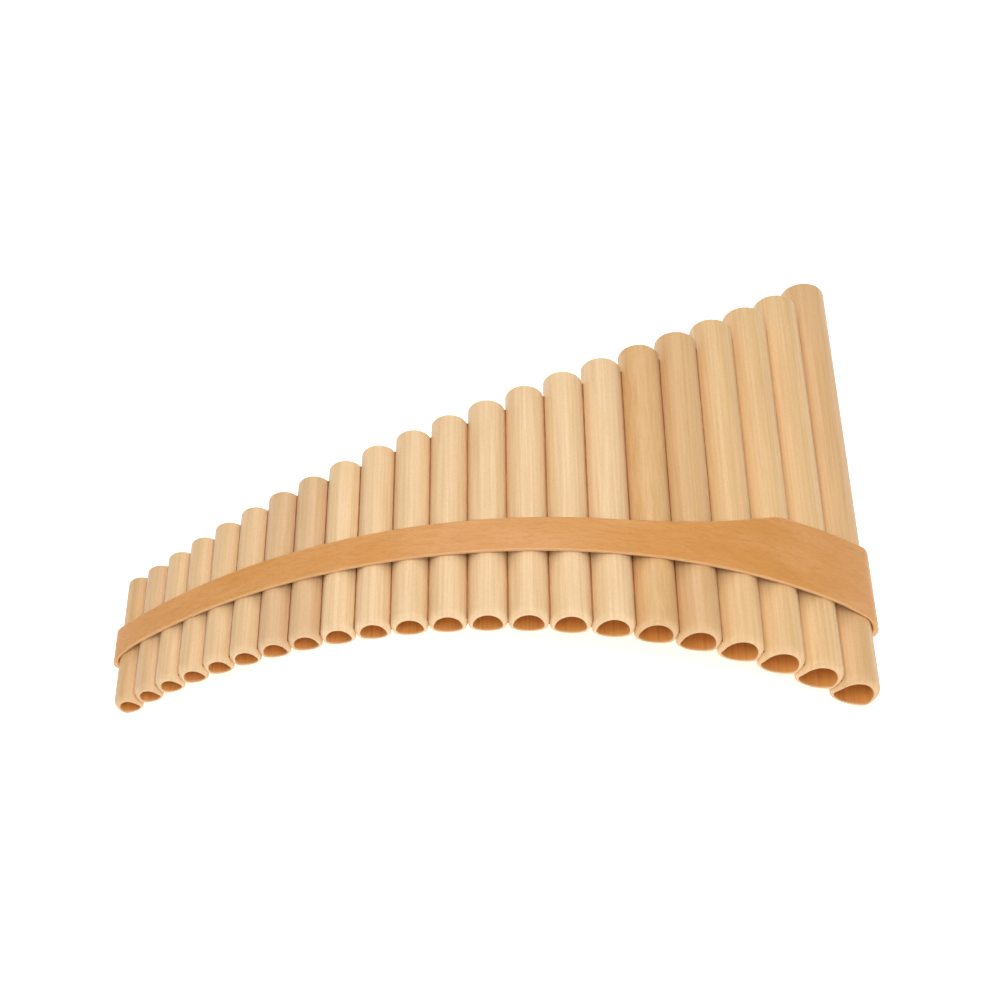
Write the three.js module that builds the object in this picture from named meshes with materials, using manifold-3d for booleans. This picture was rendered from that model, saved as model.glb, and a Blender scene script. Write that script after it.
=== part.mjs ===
// A curved pan flute: a row of closed wooden pipes, each with a cork pressed in at its sounding depth,
// held by a thin bent-wood belt round the front and both ends and a matching strip across the back.
// Millimetres, +Z up. The flute lies on its hollow back. +X runs from the short treble pipes to the long
// bass pipes, +Y from the blown mouths to the closed ends, and +Z to the rounded front.
import * as THREE from 'three';
import { mergeVertices } from 'three/addons/utils/BufferGeometryUtils.js';
import Module from 'manifold-3d';

const wasm = await Module();
wasm.setup();

// The row: pipe 1 is the highest note and pipe PIPE_COUNT the lowest.
const PIPE_COUNT = 22;
const ROW_RADIUS = 230;
const FIT_GAP = 0.3;
const FACETS = 24;

// Outer diameter, bore and length, each growing smoothly from the treble end to the bass end.
const TREBLE_DIAMETER = 11.8;
const BASS_DIAMETER = 20.6;
const DIAMETER_POWER = 1.5;
const TREBLE_BORE = 8.2;
const BASS_BORE = 16.4;
const BORE_POWER = 1.4;
const BORE_BACK = 0.85;
const LONGEST_PIPE = 227;
const LENGTH_BASE = 40.9;
const LENGTH_RATIO = 0.8961;
const TREBLE_EXTRA = 3.3;

// Mouths: a turned cone outside leaves a thin rim, then the front and the lip side are planed back.
const RIM_WIDTH = 0.3;
const FRONT_BEVEL = THREE.MathUtils.degToRad(9.5);
const LIP_BEVEL = THREE.MathUtils.degToRad(20);
const END_CHAMFER = 0.8;

// Tuning: a major scale up from the lowest note.
const LOWEST_NOTE_HZ = 392;
const SCALE_STEPS = [0, 2, 4, 5, 7, 9, 11];
const SOUND_SPEED = 345000;
const END_CORRECTION = 0.6;
const STOPPER_LENGTH = 9;

// Belt: its lower edge climbs along the row, and the strip flares out near the bass end.
const BELT_THICKNESS = 1.6;
const BELT_FROM_MOUTH = 29.65;
const BELT_CLIMB = 0.034;
// Where the belt turns round an end pipe its lower edge hangs a little.
const HANG_SPAN = 4;
const HANG_SLOPE = 0.45;
const BELT_WIDTH = 15.95;
const BELT_WIDENING = 0.0175;
const FLARE_WIDTH = 16.3;
const FLARE_START = 44;
const FLARE_END = 120;
const FLARE_FIRST_HANDLE = 94;
const FLARE_LAST_HANDLE = 114;
const FLARE_CLIMB = 0.05;
const BEND_SHARE = 0.72;
const BEND_STEPS = 5;
const RETURN_PIPES = 1;
const BUTT_GAP = 0.025;

const WOOD_COLOURS = [0xe8c896, 0xe4c08a, 0xecd0a0];
const BELT_COLOUR = 0xd6a064;
const CORK_COLOUR = 0xb98a5c;

function share(pipe) {
  return (pipe - 1) / (PIPE_COUNT - 1);
}

function outerRadius(pipe) {
  return (TREBLE_DIAMETER + (BASS_DIAMETER - TREBLE_DIAMETER) * share(pipe) ** DIAMETER_POWER) / 2;
}

function boreRadius(pipe) {
  return (TREBLE_BORE + (BASS_BORE - TREBLE_BORE) * share(pipe) ** BORE_POWER) / 2;
}

// The shortest pipes are left a little longer than the rule, by an extra that halves with each pipe.
function pipeLength(pipe) {
  const rule = LENGTH_BASE + (LONGEST_PIPE - LENGTH_BASE) * LENGTH_RATIO ** (PIPE_COUNT - pipe);
  return pipe === PIPE_COUNT ? LONGEST_PIPE : rule + TREBLE_EXTRA / 2 ** (pipe - 1);
}

// Depth of a closed pipe that sounds the note, less the end correction at its blown mouth.
function soundingDepth(pipe) {
  const note = PIPE_COUNT - pipe;
  const octave = Math.floor(note / SCALE_STEPS.length);
  const semitones = 12 * octave + SCALE_STEPS[note % SCALE_STEPS.length];
  const hertz = LOWEST_NOTE_HZ * 2 ** (semitones / 12);
  return SOUND_SPEED / (4 * hertz) - END_CORRECTION * 2 * boreRadius(pipe);
}

// Distance along the row from pipe 1, where neighbours stand side by side with the fitting gap.
const rowPlaces = [0];
for (let pipe = 1; pipe < PIPE_COUNT; pipe += 1) {
  rowPlaces.push(rowPlaces[pipe - 1] + outerRadius(pipe) + outerRadius(pipe + 1) + FIT_GAP);
}
const rowAngle = rowPlaces[PIPE_COUNT - 1] / ROW_RADIUS;

// The row is turned a little about the arch's centre, so that both ends of the belt reach the table.
const levelling = Math.asin(
  (outerRadius(PIPE_COUNT) - outerRadius(1)) / (2 * ROW_RADIUS * Math.sin(rowAngle / 2)),
);
const firstAngle = -rowAngle / 2 - levelling;

// Angle of a pipe about the arch's centre. A pipe number with a fraction lies between two pipes.
function pipeAngle(pipe) {
  const before = Math.min(Math.floor(pipe), PIPE_COUNT - 1);
  const along = THREE.MathUtils.lerp(rowPlaces[before - 1], rowPlaces[before], pipe - before);
  return firstAngle + along / ROW_RADIUS;
}

function pipeCentre(pipe) {
  const angle = pipeAngle(pipe);
  return new THREE.Vector2(Math.sin(angle), Math.cos(angle)).multiplyScalar(ROW_RADIUS);
}

function solidOf(geometry) {
  geometry.deleteAttribute('normal');
  geometry.deleteAttribute('uv');
  const merged = mergeVertices(geometry, 1e-4);
  const mesh = new wasm.Mesh({
    numProp: 3,
    vertProperties: new Float32Array(merged.attributes.position.array),
    triVerts: new Uint32Array(merged.index.array),
  });
  return new wasm.Manifold(mesh);
}

function geometryOf(solid) {
  const mesh = solid.getMesh();
  const geometry = new THREE.BufferGeometry();
  geometry.setAttribute('position', new THREE.BufferAttribute(mesh.vertProperties, 3));
  geometry.setIndex(new THREE.BufferAttribute(mesh.triVerts, 1));
  return geometry;
}

function material(colour, roughness) {
  return new THREE.MeshStandardMaterial({ color: colour, roughness, metalness: 0 });
}

// A block with one long edge across the bore's axis, tilted to plane back one side of the mouth.
function bevelBlock(side, angle) {
  const size = BASS_DIAMETER;
  const block = new THREE.BoxGeometry(2 * size, size, size);
  block.translate(0, -size / 2, side * size / 2);
  block.rotateX(-side * angle);
  block.translate(0, 0, -BORE_BACK);
  return solidOf(block);
}

// A turned solid about an axis that stands the bore's distance behind the tube's own axis.
function turnedOnBore(radiiAndHeights) {
  const profile = radiiAndHeights.map(([radius, height]) => new THREE.Vector2(radius, height));
  const turned = new THREE.LatheGeometry(profile, FACETS);
  turned.translate(0, 0, -BORE_BACK);
  return solidOf(turned);
}

// A bored tube about +Y with its mouth at the origin and its front side towards +Z. The bore lies
// nearer to the back, so the wall on the lip side is thin.
function pipeGeometry(pipe) {
  const outer = outerRadius(pipe);
  const bore = boreRadius(pipe);
  const length = pipeLength(pipe);
  const rim = bore + RIM_WIDTH;
  const past = length + BASS_DIAMETER;
  const profile = [
    new THREE.Vector2(0, 0),
    new THREE.Vector2(outer, 0),
    new THREE.Vector2(outer, length - END_CHAMFER),
    new THREE.Vector2(outer - END_CHAMFER, length),
    new THREE.Vector2(0, length),
  ];
  const blank = solidOf(new THREE.LatheGeometry(profile, FACETS));
  const wide = rim + BASS_DIAMETER;
  const cone = turnedOnBore([[0, 0], [rim, 0], [wide, BASS_DIAMETER], [wide, past], [0, past]]);
  const hole = turnedOnBore([[0, -outer], [bore, -outer], [bore, past], [0, past]]);
  const bored = blank.intersect(cone).subtract(hole);
  const planed = bored.subtract(bevelBlock(1, FRONT_BEVEL)).subtract(bevelBlock(-1, LIP_BEVEL));
  return geometryOf(planed);
}

function stopperGeometry(pipe) {
  const radius = boreRadius(pipe) - FIT_GAP;
  const stopper = new THREE.CylinderGeometry(radius, radius, STOPPER_LENGTH, FACETS);
  stopper.translate(0, soundingDepth(pipe) + STOPPER_LENGTH / 2, -BORE_BACK);
  return stopper;
}

// A point beside a pipe of the row: side is 1 on the front and -1 on the back.
function besidePipe(pipe, side, clearance) {
  const angle = pipeAngle(pipe);
  const outward = new THREE.Vector2(Math.sin(angle), Math.cos(angle));
  const reach = side * (outerRadius(pipe) + clearance);
  return pipeCentre(pipe).addScaledVector(outward, reach);
}

// The belt's turn round an end pipe: two bends with a short flat run between them.
function endTurn(pipe, end, clearance) {
  const angle = pipeAngle(pipe);
  const outward = new THREE.Vector2(Math.sin(angle), Math.cos(angle));
  const sideways = new THREE.Vector2(Math.cos(angle), -Math.sin(angle)).multiplyScalar(end);
  const bend = BEND_SHARE * outerRadius(pipe);
  const offset = outerRadius(pipe) - bend;
  const points = [];
  for (const side of [1, -1]) {
    const centre = pipeCentre(pipe).addScaledVector(sideways, offset).addScaledVector(outward, side * offset);
    for (let step = 0; step <= BEND_STEPS; step += 1) {
      const turn = (side > 0 ? step : BEND_STEPS - step) / BEND_STEPS * Math.PI / 2;
      const point = centre.clone();
      point.addScaledVector(outward, side * (bend + clearance) * Math.cos(turn));
      point.addScaledVector(sideways, (bend + clearance) * Math.sin(turn));
      points.push(point);
    }
  }
  return points;
}

// One face of the front belt, from its return behind the treble end to its return behind the bass end.
function frontBeltFace(clearance) {
  const points = [besidePipe(1 + RETURN_PIPES, -1, clearance)];
  points.push(...endTurn(1, -1, clearance).reverse());
  for (let pipe = 1.5; pipe < PIPE_COUNT; pipe += 0.5) {
    points.push(besidePipe(pipe, 1, clearance));
  }
  points.push(...endTurn(PIPE_COUNT, 1, clearance));
  points.push(besidePipe(PIPE_COUNT - RETURN_PIPES, -1, clearance));
  return points;
}

function backBeltFace(clearance) {
  const first = 1 + RETURN_PIPES + BUTT_GAP;
  const last = PIPE_COUNT - RETURN_PIPES - BUTT_GAP;
  const points = [];
  for (let step = 0; step <= 2 * PIPE_COUNT; step += 1) {
    const pipe = THREE.MathUtils.lerp(first, last, step / (2 * PIPE_COUNT));
    points.push(besidePipe(pipe, -1, clearance));
  }
  return points;
}

// The belt's outline seen from the front: a climbing strip with an S-shaped flare to the bass end.
function beltOutline() {
  const reach = pipeCentre(PIPE_COUNT).x + BASS_DIAMETER;
  const lower = (x) => BELT_FROM_MOUTH + BELT_CLIMB * x;
  const upper = (x) => lower(x) + BELT_WIDTH + BELT_WIDENING * x;
  const flared = (x) => upper(x) + FLARE_WIDTH + FLARE_CLIMB * Math.max(0, x - FLARE_END);
  const outline = new THREE.Shape();
  const bassSide = pipeCentre(PIPE_COUNT).x + outerRadius(PIPE_COUNT) - HANG_SPAN;
  const trebleSide = pipeCentre(1).x - outerRadius(1) + HANG_SPAN;
  outline.moveTo(-reach, lower(-reach) - HANG_SLOPE * (trebleSide + reach));
  outline.lineTo(trebleSide, lower(trebleSide));
  outline.lineTo(bassSide, lower(bassSide));
  outline.lineTo(reach, lower(reach) - HANG_SLOPE * (reach - bassSide));
  outline.lineTo(reach, flared(reach));
  outline.lineTo(FLARE_END, flared(FLARE_END));
  outline.bezierCurveTo(
    FLARE_LAST_HANDLE,
    flared(FLARE_LAST_HANDLE),
    FLARE_FIRST_HANDLE,
    upper(FLARE_FIRST_HANDLE),
    FLARE_START,
    upper(FLARE_START),
  );
  outline.lineTo(-reach, upper(-reach));
  outline.closePath();
  return outline;
}

// A band of wood between two faces, cut to the belt's outline.
function bandGeometry(innerFace, outerFace) {
  const section = new THREE.Shape([...innerFace, ...outerFace.reverse()]);
  const band = new THREE.ExtrudeGeometry(section, { depth: LONGEST_PIPE, bevelEnabled: false });
  band.rotateX(Math.PI / 2);
  band.translate(0, LONGEST_PIPE, 0);
  const stencil = new THREE.ExtrudeGeometry(beltOutline(), {
    depth: 2 * ROW_RADIUS,
    bevelEnabled: false,
    curveSegments: 8,
  });
  return geometryOf(solidOf(band).intersect(solidOf(stencil)));
}

function frontBeltGeometry() {
  return bandGeometry(frontBeltFace(FIT_GAP), frontBeltFace(FIT_GAP + BELT_THICKNESS));
}

function backBeltGeometry() {
  return bandGeometry(backBeltFace(FIT_GAP), backBeltFace(FIT_GAP + BELT_THICKNESS));
}

function part(name, geometry, surface) {
  const mesh = new THREE.Mesh(geometry, surface);
  mesh.name = name;
  return mesh;
}

// One place in the row, turned so that the pipe's front side faces out of the arch.
function rowPlace(pipe) {
  const number = String(pipe).padStart(2, '0');
  const centre = pipeCentre(pipe);
  const place = new THREE.Group();
  place.position.set(centre.x, 0, centre.y);
  place.rotation.y = pipeAngle(pipe);
  const wood = material(WOOD_COLOURS[pipe % WOOD_COLOURS.length], 0.45);
  place.add(part(`pipe_${number}`, pipeGeometry(pipe), wood));
  place.add(part(`stopper_${number}`, stopperGeometry(pipe), material(CORK_COLOUR, 0.9)));
  return place;
}

const row = new THREE.Group();
for (let pipe = 1; pipe <= PIPE_COUNT; pipe += 1) {
  row.add(rowPlace(pipe));
}
row.add(part('front_belt', frontBeltGeometry(), material(BELT_COLOUR, 0.5)));
row.add(part('back_belt', backBeltGeometry(), material(BELT_COLOUR, 0.5)));

// The origin is under the middle of the flute, on the surface that it lies on.
const extent = new THREE.Box3().setFromObject(row, true);
const extentCentre = extent.getCenter(new THREE.Vector3());
row.position.set(-extentCentre.x, -extentCentre.y, -extent.min.z);

const panFlute = new THREE.Group();
panFlute.add(row);

export default panFlute;
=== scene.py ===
import math
import random

import bmesh
import bpy
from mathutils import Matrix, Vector


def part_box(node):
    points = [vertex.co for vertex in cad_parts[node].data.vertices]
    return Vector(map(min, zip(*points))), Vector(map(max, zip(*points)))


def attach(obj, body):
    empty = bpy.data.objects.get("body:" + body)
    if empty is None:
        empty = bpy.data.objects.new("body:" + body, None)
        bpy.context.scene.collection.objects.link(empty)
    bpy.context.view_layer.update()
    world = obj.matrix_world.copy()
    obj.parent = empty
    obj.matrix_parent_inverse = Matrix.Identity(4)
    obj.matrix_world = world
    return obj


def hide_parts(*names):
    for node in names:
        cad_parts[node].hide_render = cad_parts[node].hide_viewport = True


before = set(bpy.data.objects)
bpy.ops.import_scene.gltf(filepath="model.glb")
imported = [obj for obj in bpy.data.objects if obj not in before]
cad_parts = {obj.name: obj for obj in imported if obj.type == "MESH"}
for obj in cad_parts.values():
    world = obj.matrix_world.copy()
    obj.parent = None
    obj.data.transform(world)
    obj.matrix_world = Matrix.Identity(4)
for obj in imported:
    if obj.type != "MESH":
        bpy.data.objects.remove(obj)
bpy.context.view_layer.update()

# ---------------------------------------------------------------- the pipes
# Twenty-two tubes of pale maple, turned on a lathe and bored a little nearer to the back. The mouth is
# coned outside to a thin rim and planed to two bevels, in front and on the lip side. The far end is cut
# square, its edge is broken with sandpaper, and the wood is oiled to a satin finish.
MM = 0.001
PIPES = 22
PIPE_SIDES = 96
ROW_RADIUS = 230 * MM
GLUED_UP = 0.15 * MM
BORE_BACK = 0.85 * MM
FRONT_BEVEL = math.radians(9.5)
LIP_BEVEL = math.radians(20)
RIM_WIDTH = 0.3 * MM
RIM_SOFTNESS = 0.2 * MM
RIDGE_SOFTNESS = 0.6 * MM
END_ROUND = 0.8 * MM
HAIR = 0.01 * MM
MOUTH_ZONE = 6 * MM
THROAT = 0.9 * MM
STATION_STEP = 12 * MM
CUT_STEPS = 8
END_STEPS = 5
# the cut rim spans these shares of the wall, from the bore outwards
CUT_FROM, CUT_TO = 0.1, 0.7
# small rounds, as steps across the wall and steps along the tube, in millimetres
RIM_ROUND = ((0, 0.26), (0.02, 0.1), (0.08, 0.02))
BROW_ROUND = ((0.5, 0.04), (0.25, 0.14), (0.08, 0.42), (0, 1.2))
END_BORE_ROUND = ((0.12, 0), (0.03, 0.03), (0, 0.14))


def pipe_node(number):
    return f"pipe_{number:02d}"


def pipe_corners(number):
    return [corner.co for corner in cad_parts[pipe_node(number)].data.vertices]


def reach_from(axis, corners):
    """How far each corner lies from an axis along Y."""
    return [math.hypot(corner.x - axis.x, corner.z - axis.z) for corner in corners]


mouth_of, length_of, outer_of, bore_of = {}, {}, {}, {}
for number in range(1, PIPES + 1):
    low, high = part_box(pipe_node(number))
    mouth_of[number] = Vector(((low.x + high.x) / 2, low.y, (low.z + high.z) / 2))
    length_of[number] = high.y - low.y
    outer_of[number] = max(reach_from(mouth_of[number], pipe_corners(number)))

# The mouths stand on an arch of ROW_RADIUS, whose centre lies below the chord from end to end.
chord = mouth_of[PIPES] - mouth_of[1]
below = Vector((chord.z, 0, -chord.x)).normalized()
arch_drop = math.sqrt(ROW_RADIUS ** 2 - chord.length_squared / 4)
arch_centre = (mouth_of[1] + mouth_of[PIPES]) / 2 + below * arch_drop
turn_of = {
    number: math.atan2(place.x - arch_centre.x, place.z - arch_centre.z)
    for number, place in mouth_of.items()
}

# Each bore stands a little behind its tube's own axis, so the wall on the lip side is thin.
for number, turn in turn_of.items():
    bore_axis = mouth_of[number] - Vector((math.sin(turn), 0, math.cos(turn))) * BORE_BACK
    far_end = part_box(pipe_node(number))[1].y - HAIR
    at_far_end = [corner for corner in pipe_corners(number) if corner.y > far_end]
    bore_of[number] = min(reach_from(bore_axis, at_far_end))


def lofted(name, rings, closed_loop=False):
    """A closed skin through rings of points. closed_loop joins the last ring to the first."""
    count = len(rings[0])
    corners = [point for ring in rings for point in ring]
    faces = []
    for index in range(len(rings) if closed_loop else len(rings) - 1):
        here = index * count
        after = (index + 1) % len(rings) * count
        for side in range(count):
            beside = (side + 1) % count
            faces.append((here + side, here + beside, after + beside, after + side))
    if not closed_loop:
        last = (len(rings) - 1) * count
        faces.append(tuple(range(count - 1, -1, -1)))
        faces.append(tuple(range(last, last + count)))
    mesh = bpy.data.meshes.new(name)
    mesh.from_pydata(corners, [], faces)
    mesh.update()
    mesh.shade_smooth()
    piece = bpy.data.objects.new(name, mesh)
    bpy.context.scene.collection.objects.link(piece)
    return piece


def outward(piece):
    """Turns the skin right side out."""
    skin = bmesh.new()
    skin.from_mesh(piece.data)
    bmesh.ops.recalc_face_normals(skin, faces=skin.faces)
    skin.to_mesh(piece.data)
    skin.free()
    return piece


def mark(piece, name, values):
    """Keeps one number for each corner of the skin, for its material to read."""
    kept = piece.data.attributes.new(name, "FLOAT", "POINT")
    kept.data.foreach_set("value", values)


def in_row(number, radius, turn, along, back=BORE_BACK):
    """A point of the row: at a radius from an axis behind a pipe's own, turned from its front."""
    mouth, facing = mouth_of[number], turn_of[number]
    swing = facing + turn
    return (
        mouth.x + radius * math.sin(swing) - back * math.sin(facing),
        mouth.y + along,
        mouth.z + radius * math.cos(swing) - back * math.cos(facing),
    )


def soft_max(a, b, softness):
    return (a + b + math.sqrt((a - b) ** 2 + softness ** 2)) / 2


def mouth_height(radius, turn, back, rim):
    """How far the planed and coned mouth lies behind its ridge, at a point of the tube's end."""
    forward = radius * math.cos(turn) + BORE_BACK - back
    from_bore = math.hypot(radius * math.sin(turn), forward)
    planed = soft_max(
        forward * math.tan(FRONT_BEVEL), -forward * math.tan(LIP_BEVEL), RIDGE_SOFTNESS
    )
    return soft_max(planed, from_bore - rim, RIM_SOFTNESS)


def pipe_stations(length, outer, bore):
    """Rings round the tube: kind, radius, place along it, and how far its centre lies back."""
    straight = max(2, round((length - MOUTH_ZONE - END_ROUND) / STATION_STEP))
    along = [
        MOUTH_ZONE + (length - END_ROUND - MOUTH_ZONE) * step / straight
        for step in range(straight + 1)
    ]
    stations = [("bore", bore, place, BORE_BACK) for place in reversed(along)]
    stations.append(("throat", bore, THROAT, BORE_BACK))
    for inset, lift in RIM_ROUND:
        stations.append(("rim", bore + inset * MM, lift * MM, BORE_BACK))
    for step in range(CUT_STEPS + 1):
        share = CUT_FROM + (CUT_TO - CUT_FROM) * step / CUT_STEPS
        stations.append(("cut", bore + (outer - bore) * share, 0, BORE_BACK * (1 - share)))
    for inset, lift in BROW_ROUND:
        stations.append(("brow", outer - inset * MM, lift * MM, 0))
    stations += [("outside", outer, place, 0) for place in along]
    for step in range(1, END_STEPS + 1):
        turn = step / END_STEPS * math.pi / 2
        radius = outer - END_ROUND * (1 - math.cos(turn))
        stations.append(("end", radius, length - END_ROUND * (1 - math.sin(turn)), 0))
    for inset, back in END_BORE_ROUND:
        stations.append(("end", bore + inset * MM, length - back * MM, BORE_BACK))
    return stations


# rings that follow the planed mouth; how strongly a ring shows lighter, freshly cut wood, strongest at the
# rim as a painted highlight; and how strongly it shows the bore's colour, painted darker and redder as
# shade inside the bore
BY_THE_MOUTH = ("throat", "rim", "cut", "brow")
FRESH_CUT_AND_RIM_HIGHLIGHT = {"rim": 1.0, "cut": 0.4, "brow": 0.15, "end": 0.6}
BORE_SHADE_SHARE = {"bore": 1.0, "throat": 0.9, "rim": 0.15}


def make_pipe(number):
    outer, bore, length = outer_of[number] + GLUED_UP, bore_of[number], length_of[number]
    stations = pipe_stations(length, outer, bore)
    rings = []
    for kind, radius, place, back in stations:
        ring = []
        for side in range(PIPE_SIDES):
            turn = side * 2 * math.pi / PIPE_SIDES
            along = place
            if kind in BY_THE_MOUTH:
                along += mouth_height(radius, turn, back, bore + RIM_WIDTH)
            ring.append(in_row(number, radius, turn, along, back))
        rings.append(ring)
    pipe = outward(lofted(f"tube_{number:02d}", rings, closed_loop=True))
    for name, shown in (("cut", FRESH_CUT_AND_RIM_HIGHLIGHT), ("bore_shade", BORE_SHADE_SHARE)):
        mark(pipe, name, [shown.get(kind, 0) for kind, *_ in stations for _ in range(PIPE_SIDES)])
    return pipe


def mix_colours(tree, blend, share, first, second):
    """A colour mix node. share, first and second are sockets or plain values."""
    node = tree.nodes.new("ShaderNodeMix")
    node.data_type = "RGBA"
    node.blend_type = blend
    for socket, value in ((node.inputs[0], share), (node.inputs[6], first), (node.inputs[7], second)):
        if isinstance(value, bpy.types.NodeSocket):
            tree.links.new(value, socket)
        elif isinstance(value, tuple):
            socket.default_value = (*value, 1)
        else:
            socket.default_value = value
    return node.outputs[2]


def stretched(tree, source, scale, turn=(0, 0, 0)):
    """The same place in the wood, in millimetres, turned and stretched along the fibres."""
    node = tree.nodes.new("ShaderNodeMapping")
    node.inputs["Rotation"].default_value = turn
    node.inputs["Scale"].default_value = scale
    tree.links.new(source, node.inputs["Vector"])
    return node.outputs["Vector"]


def noise(tree, place, scale=1.0, detail=2.0, roughness=0.5, distortion=0.0):
    node = tree.nodes.new("ShaderNodeTexNoise")
    node.inputs["Scale"].default_value = scale
    node.inputs["Detail"].default_value = detail
    node.inputs["Roughness"].default_value = roughness
    node.inputs["Distortion"].default_value = distortion
    tree.links.new(place, node.inputs["Vector"])
    return node.outputs["Fac"]


def spread(tree, value, low, high, to_low=0.0, to_high=1.0):
    """Spreads a share between two limits."""
    node = tree.nodes.new("ShaderNodeMapRange")
    node.interpolation_type = "SMOOTHSTEP"
    for name, number in (("From Min", low), ("From Max", high), ("To Min", to_low), ("To Max", to_high)):
        node.inputs[name].default_value = number
    tree.links.new(value, node.inputs["Value"])
    return node.outputs["Result"]


def arithmetic(tree, how, first, second):
    node = tree.nodes.new("ShaderNodeMath")
    node.operation = how
    for socket, value in zip(node.inputs, (first, second)):
        if isinstance(value, bpy.types.NodeSocket):
            tree.links.new(value, socket)
        else:
            socket.default_value = value
    return node.outputs["Value"]


def marked(tree, name):
    node = tree.nodes.new("ShaderNodeAttribute")
    node.attribute_name = name
    return node.outputs["Fac"]


RELIEF_DEPTH = 0.05 * MM
OIL_IOR = 1.5
OIL_ROUGHNESS = 0.3


def finish_wood(tree, colour, roughness, height, bump, gloss):
    """Joins colour, roughness and relief to the shader. gloss is the weight of the oil film."""
    shader = tree.nodes.new("ShaderNodeBsdfPrincipled")
    output = tree.nodes.new("ShaderNodeOutputMaterial")
    relief = tree.nodes.new("ShaderNodeBump")
    relief.inputs["Strength"].default_value = bump
    relief.inputs["Distance"].default_value = RELIEF_DEPTH
    tree.links.new(height, relief.inputs["Height"])
    tree.links.new(relief.outputs["Normal"], shader.inputs["Normal"])
    tree.links.new(colour, shader.inputs["Base Color"])
    tree.links.new(roughness, shader.inputs["Roughness"])
    shader.inputs["IOR"].default_value = OIL_IOR
    shader.inputs["Coat Weight"].default_value = gloss
    shader.inputs["Coat Roughness"].default_value = OIL_ROUGHNESS
    tree.links.new(shader.outputs["BSDF"], output.inputs["Surface"])


def new_material(name):
    material = bpy.data.materials.new(name)
    material.use_nodes = True
    material.node_tree.nodes.clear()
    return material


CREAM = (0.775, 0.55, 0.315)
BUFF = (0.71, 0.485, 0.265)
HONEY = (0.715, 0.47, 0.23)
ROSY = (0.66, 0.43, 0.235)
AMBER = (0.66, 0.40, 0.175)
TAWNY = (0.655, 0.41, 0.195)
STREAK = (0.58, 0.36, 0.17)
FIBRE_SHADE = (0.88, 0.81, 0.72)
SPECK_SHADE = (0.94, 0.9, 0.84)
LATE_WOOD_SHADE = (0.97, 0.94, 0.89)
# lighter wood for the cut faces; at full strength on the thin rim it is a painted highlight
CUT_AND_HIGHLIGHT_WOOD = (0.84, 0.58, 0.335)
# the bore's wood, painted darker and redder than the outside as painted shade inside the bore
BORE_WOOD_SHADED = (0.76, 0.33, 0.075)
BORE_STREAK_SHADED = (0.50, 0.19, 0.045)
# pipe tones: some differ from pipe to pipe, and they grow darker towards both ends of the row, a painted
# shade of the pipes that turn away from the light
pipe_tone_and_end_shade = {number: CREAM for number in range(1, PIPES + 1)}
pipe_tone_and_end_shade.update({1: TAWNY, 2: ROSY, 7: ROSY, 8: ROSY, 17: AMBER, 18: TAWNY, 22: TAWNY})
pipe_tone_and_end_shade.update({number: BUFF for number in (3, 4, 5, 6)})
pipe_tone_and_end_shade.update({number: HONEY for number in (19, 20, 21)})
FIGURED_PIPE = 17
FLECKED_PIPE = 18
# how close the growth rings' waves and how strong the flecks are, in these two pipes and in the rest
RING_WAVES = {FIGURED_PIPE: 60.0}
PLAIN_WAVES = 14.0
RAY_STRENGTH = {FLECKED_PIPE: 0.6}
PLAIN_RAYS = 0.16
board = random.Random(22)


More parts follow.
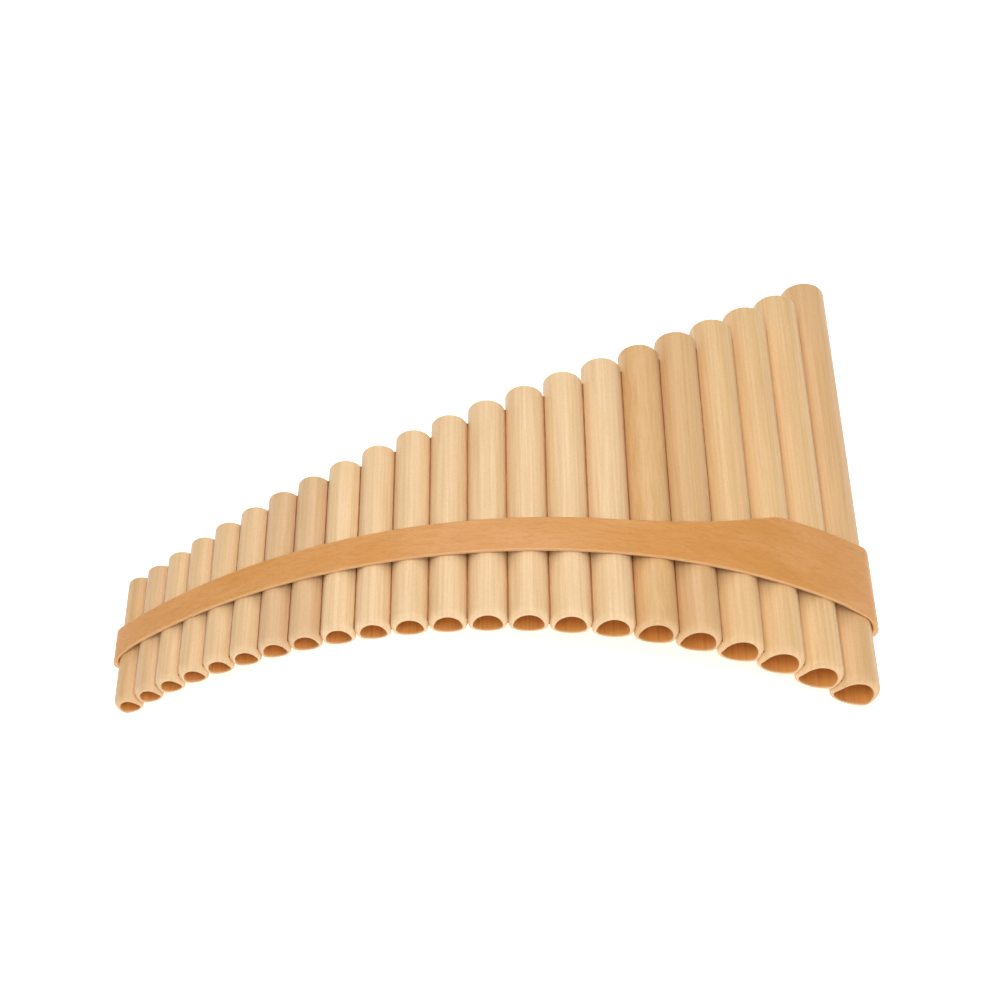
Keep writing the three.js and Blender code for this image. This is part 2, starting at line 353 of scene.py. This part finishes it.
def pipe_wood(number):
    """One pipe's wood: every pipe is cut from another board, so its figure is its own; its tone differs
    from pipe to pipe and also grows darker towards both ends of the row as painted shade.
    """
    material = new_material(f"maple_{number:02d}")
    tree = material.node_tree
    place = tree.nodes.new("ShaderNodeTexCoord").outputs["Object"]
    board_turn = (0, board.uniform(0, math.pi), 0)
    along = RING_WAVES.get(number, PLAIN_WAVES)
    # growth rings, long streaks, fine fibres, broad clouds of colour, ray flecks and specks
    rings = noise(tree, stretched(tree, place, (900, along, 130), board_turn), 1.0, 3.0, 0.55, 0.6)
    streaks = noise(tree, stretched(tree, place, (1300, 9, 1300)), 1.0, 2.0, 0.6)
    fibres = noise(tree, stretched(tree, place, (4200, 70, 4200)), 1.0, 2.0, 0.6)
    clouds = noise(tree, stretched(tree, place, (110, 22, 110)), 1.0, 2.0, 0.5)
    rays = noise(tree, stretched(tree, place, (2600, 420, 2600)), 1.0, 1.0, 0.5)
    specks = noise(tree, stretched(tree, place, (1300, 800, 1300)), 1.0, 3.0, 0.6)
    tone = pipe_tone_and_end_shade[number]
    lighter = tuple(min(1.0, part * 1.06 + 0.015) for part in tone)
    darker = tuple(part * weight for part, weight in zip(tone, LATE_WOOD_SHADE))
    colour = mix_colours(tree, "MIX", spread(tree, rings, 0.35, 0.68), lighter, darker)
    colour = mix_colours(tree, "MIX", spread(tree, streaks, 0.48, 0.8, 0, 0.08), colour, STREAK)
    colour = mix_colours(tree, "MIX", spread(tree, clouds, 0.45, 0.75, 0, 0.35), colour, HONEY)
    colour = mix_colours(tree, "MULTIPLY", spread(tree, fibres, 0.45, 0.8, 0, 0.25), colour, FIBRE_SHADE)
    colour = mix_colours(tree, "MULTIPLY", spread(tree, specks, 0.4, 0.65, 0, 0.5), colour, SPECK_SHADE)
    flecks = spread(tree, rays, 0.66, 0.74, 0, RAY_STRENGTH.get(number, PLAIN_RAYS))
    colour = mix_colours(tree, "MIX", flecks, colour, STREAK)
    # the inside of the tube: its wood painted darker and redder, a painted shade in the bore
    bored = mix_colours(tree, "MIX", spread(tree, streaks, 0.4, 0.7, 0, 0.5), BORE_WOOD_SHADED, BORE_STREAK_SHADED)
    colour = mix_colours(tree, "MIX", marked(tree, "bore_shade"), colour, bored)
    # lighter cut wood on the coned mouth and the far end, and on the thin rim a painted highlight
    cut = arithmetic(tree, "MULTIPLY", marked(tree, "cut"), 0.5)
    colour = mix_colours(tree, "MIX", cut, colour, CUT_AND_HIGHLIGHT_WOOD)
    roughness = spread(tree, fibres, 0.2, 0.8, 0.44, 0.6)
    height = arithmetic(tree, "ADD", fibres, arithmetic(tree, "MULTIPLY", rays, 0.6))
    finish_wood(tree, colour, roughness, height, 0.35, 0.05)
    return material


for number in range(1, PIPES + 1):
    pipe = make_pipe(number)
    pipe.data.materials.append(pipe_wood(number))
    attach(pipe, "root")
    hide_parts(pipe_node(number))

# ---------------------------------------------------------------- the corks
# A round plug of natural cork closes each bore at its sounding depth. It is cut a little wide and
# pushed in from the far end, so it holds by its own spring and can be moved for tuning.
CORK_SIDES = 48
CORK_CHAMFER = 0.5 * MM
CORK_EDGE = 0.3 * CORK_CHAMFER
CORK_FACE = 0.9
CORK_UNEVEN = 0.04 * MM
CORK_SQUEEZE = 0.02 * MM
CORK_RINGS = 4


def cork_node(number):
    return f"stopper_{number:02d}"


def make_cork(number):
    low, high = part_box(cork_node(number))
    mouth = mouth_of[number]
    radius = bore_of[number] - CORK_SQUEEZE
    near, far = low.y - mouth.y, high.y - mouth.y
    face = [radius * CORK_FACE * ring / CORK_RINGS for ring in range(1, CORK_RINGS + 1)]
    profile = [(reach, near) for reach in face]
    profile += [(radius - CORK_EDGE, near + CORK_EDGE), (radius, near + CORK_CHAMFER)]
    profile += [(radius, (near + far) / 2)]
    profile += [(radius, far - CORK_CHAMFER), (radius - CORK_EDGE, far - CORK_EDGE)]
    profile += [(reach, far) for reach in reversed(face)]
    cut = random.Random(100 + number)
    rings = []
    for reach, along in profile:
        ring = []
        for side in range(CORK_SIDES):
            turn = side * 2 * math.pi / CORK_SIDES
            uneven = cut.uniform(-CORK_UNEVEN, CORK_UNEVEN) if reach in face else 0
            ring.append(in_row(number, reach, turn, along + uneven))
        rings.append(ring)
    return outward(lofted(f"cork_{number:02d}", rings))


CORK_LIGHT = (0.56, 0.33, 0.16)
CORK_DARK = (0.36, 0.18, 0.08)
CORK_PIT = (0.12, 0.055, 0.025)


def cork_material():
    material = new_material("natural_cork")
    tree = material.node_tree
    place = tree.nodes.new("ShaderNodeTexCoord").outputs["Object"]
    grains = noise(tree, stretched(tree, place, (900, 900, 900)), 1.0, 3.0, 0.6)
    pits = noise(tree, stretched(tree, place, (500, 1400, 500)), 1.0, 2.0, 0.6)
    hole = spread(tree, pits, 0.58, 0.66)
    colour = mix_colours(tree, "MIX", spread(tree, grains, 0.35, 0.65), CORK_LIGHT, CORK_DARK)
    colour = mix_colours(tree, "MIX", hole, colour, CORK_PIT)
    height = arithmetic(tree, "SUBTRACT", arithmetic(tree, "MULTIPLY", grains, 0.4), hole)
    finish_wood(tree, colour, spread(tree, grains, 0.2, 0.8, 0.75, 0.95), height, 0.8, 0.0)
    return material


cork_finish = cork_material()
for number in range(1, PIPES + 1):
    cork = make_cork(number)
    cork.data.materials.append(cork_finish)
    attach(cork, "root")
    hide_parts(cork_node(number))

# ---------------------------------------------------------------- the beeswax
# A little melted beeswax lies on each cork's inner face and closes it airtight. The maker adds or
# scrapes it away for the last fine step of tuning, so it climbs the bore's wall in a small rim.
WAX_SIDES = 48
WAX_DEPTH = 1.2 * MM
WAX_CLIMB = 0.8 * MM
WAX_KEPT_OFF = 0.03 * MM
# the blown side, from the middle to the wall: shares of the radius, and millimetres behind its level
WAX_FACE = ((0.2, 0.1), (0.45, 0.06), (0.7, 0), (0.85, -0.12), (0.94, -0.4))
WAX_LIP = 0.985
WAX_BACK = (1.0, 0.6, 0.2)


def make_wax(number):
    low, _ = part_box(cork_node(number))
    mouth = mouth_of[number]
    radius = bore_of[number] - WAX_KEPT_OFF
    back = low.y - mouth.y - WAX_KEPT_OFF
    face = back - WAX_DEPTH
    profile = [(share, face + behind * MM) for share, behind in WAX_FACE]
    profile += [(WAX_LIP, face - WAX_CLIMB), (1.0, face - WAX_CLIMB), (1.0, face)]
    profile += [(share, back) for share in WAX_BACK]
    rings = []
    for share, along in profile:
        ring = []
        for side in range(WAX_SIDES):
            turn = side * 2 * math.pi / WAX_SIDES
            ring.append(in_row(number, radius * share, turn, along))
        rings.append(ring)
    return outward(lofted(f"wax_{number:02d}", rings))


WAX_GOLD = (0.80, 0.50, 0.16)
WAX_PALE = (0.86, 0.64, 0.30)


def wax_material():
    material = new_material("beeswax")
    tree = material.node_tree
    place = tree.nodes.new("ShaderNodeTexCoord").outputs["Object"]
    clouds = noise(tree, stretched(tree, place, (260, 260, 260)), 1.0, 3.0, 0.55)
    ripples = noise(tree, stretched(tree, place, (700, 700, 700)), 1.0, 2.0, 0.5)
    colour = mix_colours(tree, "MIX", spread(tree, clouds, 0.35, 0.7), WAX_GOLD, WAX_PALE)
    finish_wood(tree, colour, spread(tree, ripples, 0.2, 0.8, 0.3, 0.5), ripples, 0.5, 0.0)
    return material


wax_finish = wax_material()
for number in range(1, PIPES + 1):
    wax = make_wax(number)
    wax.data.materials.append(wax_finish)
    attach(wax, "root")

# ---------------------------------------------------------------- the glue lines
# The pipes are glued side by side with hide glue. It fills the narrow wedge where two round pipes touch
# and is coloured dark brown, one thin dark line down each valley, front and back, partly the glue's own
# colour and partly painted shade of the valley.
GLUE_WIDTH = 0.6 * MM
GLUE_HOLLOW = 0.12 * MM
GLUE_IN_WOOD = 0.08 * MM
GLUE_FROM_MOUTH = 2.6 * MM
GLUE_SHORT_OF_END = 0.7 * MM
GLUE_STEP = 6 * MM
GLUE_UNEVEN = 0.12


def make_glue_line(number):
    """The line between a pipe and the next longer one."""
    here, there = mouth_of[number], mouth_of[number + 1]
    outer, other = outer_of[number] + GLUED_UP, outer_of[number + 1] + GLUED_UP
    across = (there - here).normalized()
    out = Vector((-across.z, 0, across.x))
    touch = here + across * outer
    middle = math.sqrt(GLUE_WIDTH * 2 * outer * other / (outer + other))

    def in_pipe(centre, radius, side, toward):
        """The glue's edge on one pipe, sunk a little into its wood."""
        sunk = radius - GLUE_IN_WOOD
        reach = math.sqrt(sunk ** 2 - middle ** 2)
        return centre + across * toward * reach + out * side * middle

    first = GLUE_FROM_MOUTH + here.y
    last = here.y + length_of[number] - GLUE_SHORT_OF_END
    steps = max(4, round((last - first) / GLUE_STEP))
    wander = random.Random(300 + number)
    rings = []
    for step in range(steps + 1):
        along = first + (last - first) * step / steps
        slack = 1 + wander.uniform(-GLUE_UNEVEN, GLUE_UNEVEN)
        section = [
            in_pipe(here, outer, 1, 1),
            touch + out * (middle - GLUE_HOLLOW * slack),
            in_pipe(there, other, 1, -1),
            in_pipe(there, other, -1, -1),
            touch - out * (middle - GLUE_HOLLOW * slack),
            in_pipe(here, outer, -1, 1),
        ]
        rings.append([(point.x, along, point.z) for point in section])
    return outward(lofted(f"glue_{number:02d}", rings))


# the glue's dark brown, partly its own colour and partly painted shade of the valley between two pipes
GLUE_BROWN_AND_VALLEY_SHADE = (0.25, 0.095, 0.033)
GLUE_AMBER = (0.36, 0.155, 0.055)


def glue_material():
    material = new_material("hide_glue")
    tree = material.node_tree
    place = tree.nodes.new("ShaderNodeTexCoord").outputs["Object"]
    clots = noise(tree, stretched(tree, place, (900, 160, 900)), 1.0, 3.0, 0.6)
    colour = mix_colours(tree, "MIX", spread(tree, clots, 0.35, 0.7), GLUE_BROWN_AND_VALLEY_SHADE, GLUE_AMBER)
    finish_wood(tree, colour, spread(tree, clots, 0.2, 0.8, 0.3, 0.55), clots, 0.5, 0.0)
    return material


glue_finish = glue_material()
for number in range(1, PIPES):
    glue = make_glue_line(number)
    glue.data.materials.append(glue_finish)
    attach(glue, "root")

# ---------------------------------------------------------------- the front belt
# A strip of beech, 1.6 mm thick, steamed and bent over the front of the row and round both end pipes.
# It is sawn to a climbing line with an S-shaped flare towards the long pipes, rounded at its edges
# with sandpaper, and glued to the crown of every pipe.
BELT_REST = 0.15 * MM
BELT_FACE = 1.9 * MM
BELT_FROM_MOUTH = 29.65 * MM
BELT_CLIMB = 0.034
HANG_SPAN = 4 * MM
HANG_SLOPE = 0.45
BELT_WIDTH = 15.95 * MM
BELT_WIDENING = 0.0175
FLARE_WIDTH = 16.3 * MM
FLARE_ALONG = (44 * MM, 94 * MM, 114 * MM, 120 * MM)
FLARE_CLIMB = 0.05
BEND_SHARE = 0.72
INNER_SHARE = 0.9
BEND_STEPS = 14
STEPS_PER_PIPE = 5
BEND_SPAN = 3
EDGE_ROUND = 0.55 * MM
EDGE_STEPS = 4
EDGE_WEAR_AND_HIGHLIGHT = [1, 0.8, 0.5, 0.2, 0]
FACE_ROWS = 6
HALVINGS = 24


def between_pipes(table, place):
    """A pipe's size at a place in the row that may lie between two pipes."""
    before = min(int(place), PIPES - 1)
    return table[before] + (table[before + 1] - table[before]) * (place - before)


def beside_row(place, side, clearance):
    """A point beside the row, in front of it for side 1 and behind it for side -1."""
    turn = between_pipes(turn_of, place)
    reach = ROW_RADIUS + side * (between_pipes(outer_of, place) + clearance)
    return arch_centre + Vector((math.sin(turn), 0, math.cos(turn))) * reach


def round_end_pipe(number, end, clearance, share):
    """The belt's turn round an end pipe. A share of 1 hugs it, less leaves a short flat run."""
    turn = turn_of[number]
    out = Vector((math.sin(turn), 0, math.cos(turn)))
    sideways = Vector((math.cos(turn), 0, -math.sin(turn))) * end
    bend = share * outer_of[number]
    offset = outer_of[number] - bend
    axis = arch_centre + out * ROW_RADIUS
    points = []
    for side in (1, -1):
        centre = axis + sideways * offset + out * side * offset
        for step in range(BEND_STEPS + 1):
            swing = (step if side > 0 else BEND_STEPS - step) / BEND_STEPS * math.pi / 2
            swept = out * side * math.cos(swing) + sideways * math.sin(swing)
            points.append(centre + swept * (bend + clearance))
    return points


def front_face(clearance, share):
    points = [beside_row(2, -1, clearance)]
    points += reversed(round_end_pipe(1, -1, clearance, share))
    last = (PIPES - 1) * STEPS_PER_PIPE - BEND_SPAN
    for step in range(BEND_SPAN, last + 1):
        points.append(beside_row(1 + step / STEPS_PER_PIPE, 1, clearance))
    points += round_end_pipe(PIPES, 1, clearance, share)
    points.append(beside_row(PIPES - 1, -1, clearance))
    return points


def lower_edge(across):
    """The climbing lower edge, which hangs a little where the belt turns round an end pipe."""
    bass_side = ROW_RADIUS * math.sin(turn_of[PIPES]) + outer_of[PIPES] - HANG_SPAN
    treble_side = ROW_RADIUS * math.sin(turn_of[1]) - outer_of[1] + HANG_SPAN
    hang = HANG_SLOPE * max(0, across - bass_side, treble_side - across)
    return BELT_FROM_MOUTH + BELT_CLIMB * across - hang


def upper_edge(across):
    """The climbing upper edge. The flare is a curve with two handles between its two ends."""
    plain = BELT_FROM_MOUTH + BELT_WIDTH + (BELT_CLIMB + BELT_WIDENING) * across
    start, first_handle, last_handle, end = FLARE_ALONG
    if across >= end:
        return plain + FLARE_WIDTH + FLARE_CLIMB * (across - end)
    # Halve the curve again and again to find where it passes this place.
    low, high = 0.0, 1.0
    for _ in range(HALVINGS):
        guess = (low + high) / 2
        rest = 1 - guess
        reached = start * rest ** 3 + 3 * first_handle * rest ** 2 * guess
        reached += 3 * last_handle * rest * guess ** 2 + end * guess ** 3
        low, high = (guess, high) if reached < across else (low, guess)
    return plain + FLARE_WIDTH * (3 * guess ** 2 - 2 * guess ** 3)


def belt_ring(inner, outer):
    """The strip's section at one place, as a ring of corners with four rounded edges."""
    share = EDGE_ROUND / (outer - inner).length
    corner = [step / EDGE_STEPS * math.pi / 2 for step in range(EDGE_STEPS + 1)]
    rows = [step / FACE_ROWS for step in range(FACE_ROWS + 1)]
    ring = []

    def put(depth, near, off):
        """A corner between the faces: off an edge, or at a share of the way between the edges."""
        point = inner.lerp(outer, depth)
        across = point.x - arch_centre.x
        lower, upper = lower_edge(across), upper_edge(across)
        along = {
            "lower": lower + off,
            "upper": upper - off,
            "between": lower + EDGE_ROUND * 2 + (upper - lower - EDGE_ROUND * 4) * off,
        }[near]
        ring.append((point.x, mouth_of[1].y + along, point.z))

    def put_edge(near, face, angles):
        """The quarter round between an edge and a face, 1 for the outer face and 0 for the inner."""
        for angle in angles:
            depth = share * (1 - math.sin(angle))
            put(1 - depth if face else depth, near, EDGE_ROUND * (1 - math.cos(angle)))

    put_edge("lower", 1, corner)
    for off in rows:
        put(1, "between", off)
    put_edge("upper", 1, corner[::-1])
    put(0.5, "upper", 0)
    put_edge("upper", 0, corner)
    for off in reversed(rows):
        put(0, "between", off)
    put_edge("lower", 0, corner[::-1])
    put(0.5, "lower", 0)
    return ring


def make_belt(name, inner_face, outer_face):
    rings = [belt_ring(inner, outer) for inner, outer in zip(inner_face, outer_face)]
    belt = outward(lofted(name, rings))
    # how far along the strip, across it and through it every corner lies, for the grain to follow
    run = [0.0]
    for before, after in zip(outer_face, outer_face[1:]):
        run.append(run[-1] + (after - before).length)
    grain = []
    for length, inner, outer, ring in zip(run, inner_face, outer_face, rings):
        through = (outer - inner).normalized()
        for point in ring:
            grain += [length, point[1], (Vector(point) - inner).dot(through)]
    kept = belt.data.attributes.new("grain", "FLOAT_VECTOR", "POINT")
    kept.data.foreach_set("vector", grain)
    # lighter sanded end grain along the edges, on both halves of the section; on the thin edge faces the
    # lighter colour is also a painted highlight
    half = EDGE_WEAR_AND_HIGHLIGHT + [0] * (FACE_ROWS + 1) + EDGE_WEAR_AND_HIGHLIGHT[::-1] + [1]
    mark(belt, "edge", half * 2 * len(rings))
    return belt


BELT_TAN = (0.636, 0.286, 0.07)
BELT_ROSE = (0.673, 0.322, 0.103)
BELT_DEEP = (0.55, 0.232, 0.053)
BELT_FLECK = (0.45, 0.185, 0.05)
# the belt's edge colour: sanded end grain, and on the edge faces a painted highlight
BELT_EDGE_HIGHLIGHT = (0.84, 0.53, 0.27)
BELT_FIBRE_SHADE = (0.84, 0.76, 0.66)


def belt_wood():
    material = new_material("beech_strip")
    tree = material.node_tree
    node = tree.nodes.new("ShaderNodeAttribute")
    node.attribute_name = "grain"
    place = node.outputs["Vector"]
    clouds = noise(tree, stretched(tree, place, (28, 75, 75)), 1.0, 3.0, 0.55)
    lines = noise(tree, stretched(tree, place, (110, 620, 620)), 1.0, 3.0, 0.6, 1.2)
    fibres = noise(tree, stretched(tree, place, (320, 2600, 2600)), 1.0, 2.0, 0.6)
    flecks = noise(tree, stretched(tree, place, (420, 2400, 2400)), 1.0, 1.0, 0.5)
    colour = mix_colours(tree, "MIX", spread(tree, clouds, 0.35, 0.65), BELT_TAN, BELT_ROSE)
    colour = mix_colours(tree, "MIX", spread(tree, lines, 0.4, 0.72, 0, 0.5), colour, BELT_DEEP)
    shade = spread(tree, fibres, 0.45, 0.8, 0, 0.5)
    colour = mix_colours(tree, "MULTIPLY", shade, colour, BELT_FIBRE_SHADE)
    colour = mix_colours(tree, "MIX", spread(tree, flecks, 0.62, 0.72, 0, 0.4), colour, BELT_FLECK)
    # the lighter edges: sanded end grain and a painted highlight on the thin edge faces
    worn_and_lit = arithmetic(tree, "MULTIPLY", marked(tree, "edge"), 0.9)
    colour = mix_colours(tree, "MIX", worn_and_lit, colour, BELT_EDGE_HIGHLIGHT)
    roughness = spread(tree, fibres, 0.2, 0.8, 0.38, 0.5)
    height = arithmetic(tree, "ADD", fibres, arithmetic(tree, "MULTIPLY", flecks, 0.5))
    finish_wood(tree, colour, roughness, height, 0.35, 0.05)
    return material


belt_finish = belt_wood()
front_belt = make_belt("belt_front", front_face(BELT_REST, INNER_SHARE), front_face(BELT_FACE, BEND_SHARE))
front_belt.data.materials.append(belt_finish)
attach(front_belt, "root")
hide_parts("front_belt")

# ---------------------------------------------------------------- the back belt
# A plain strip of the same beech, glued across the hollow back between the front belt's two returns.
# It stops a hair short of them, butted end to end.
BUTT_GAP = 0.025
BACK_STEPS = 110


def back_face(clearance):
    first, last = 2 + BUTT_GAP, PIPES - 1 - BUTT_GAP
    return [
        beside_row(first + (last - first) * step / BACK_STEPS, -1, clearance)
        for step in range(BACK_STEPS + 1)
    ]


back_belt = make_belt("belt_back", back_face(BELT_REST), back_face(BELT_FACE))
back_belt.data.materials.append(belt_finish)
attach(back_belt, "root")
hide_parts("back_belt")

# ---------------------------------------------------------------- the studio
# A plain pale table top, an even pale surround and large soft lamps, and the camera over the mouths.
TABLE_HALF = 12.0
TABLE_TONE = (0.93, 0.93, 0.93, 1)
TABLE_ROUGHNESS = 0.9
TABLE_GLOW = 0.6
SURROUND_GLOW = 0.14
PALE = (1, 1, 1, 1)

top = bpy.data.meshes.new("table_top")
near, far = -TABLE_HALF, TABLE_HALF
top.from_pydata([(near, near, 0), (far, near, 0), (far, far, 0), (near, far, 0)], [], [(0, 1, 2, 3)])
table_top = bpy.data.objects.new("table_top", top)
bpy.context.scene.collection.objects.link(table_top)
pale = new_material("pale_table")
pale_shader = pale.node_tree.nodes.new("ShaderNodeBsdfPrincipled")
pale_shader.inputs["Base Color"].default_value = TABLE_TONE
pale_shader.inputs["Roughness"].default_value = TABLE_ROUGHNESS
pale_shader.inputs["Emission Color"].default_value = PALE
pale_shader.inputs["Emission Strength"].default_value = TABLE_GLOW
pale_output = pale.node_tree.nodes.new("ShaderNodeOutputMaterial")
pale.node_tree.links.new(pale_shader.outputs["BSDF"], pale_output.inputs["Surface"])
top.materials.append(pale)

surround = bpy.data.worlds.new("pale_surround")
surround.use_nodes = True
surround.node_tree.nodes["Background"].inputs["Color"].default_value = PALE
surround.node_tree.nodes["Background"].inputs["Strength"].default_value = SURROUND_GLOW
bpy.context.scene.world = surround

LAMPS_FACE = Vector((0, 0, 0.04))


def soft_lamp(name, place, size, power):
    """A large square white lamp that faces the flute."""
    lamp = bpy.data.lights.new(name, "AREA")
    lamp.size = size
    lamp.energy = power
    stand = bpy.data.objects.new(name, lamp)
    stand.location = place
    stand.rotation_euler = (LAMPS_FACE - Vector(place)).to_track_quat("-Z", "Y").to_euler()
    bpy.context.scene.collection.objects.link(stand)


soft_lamp("key_lamp", (0, -0.75, 1.35), 0.9, 15.5)
soft_lamp("overhead_lamp", (0, 0, 1.55), 0.9, 4.5)
soft_lamp("back_lamp", (0, 0.95, 1.2), 1.0, 6.5)
soft_lamp("left_panel", (-1.4, -0.3, 0.5), 0.9, 2.2)
soft_lamp("right_panel", (1.4, -0.3, 0.5), 0.9, 3)

CAMERA_PLACE = (-0.00302, -0.57104, 0.73045)
CAMERA_DOWN = math.radians(51.904)
CAMERA_TURN = math.radians(0.498)
view_finder = bpy.data.cameras.new("camera")
view_finder.sensor_width = 36
view_finder.lens = 73.82
view_finder.clip_start = 0.01
view_finder.clip_end = 100
camera = bpy.data.objects.new("camera", view_finder)
camera.location = CAMERA_PLACE
camera.rotation_euler = (math.pi / 2 - CAMERA_DOWN, 0, -CAMERA_TURN)
bpy.context.scene.collection.objects.link(camera)
bpy.context.scene.camera = camera
bpy.context.scene.view_settings.view_transform = "Standard"
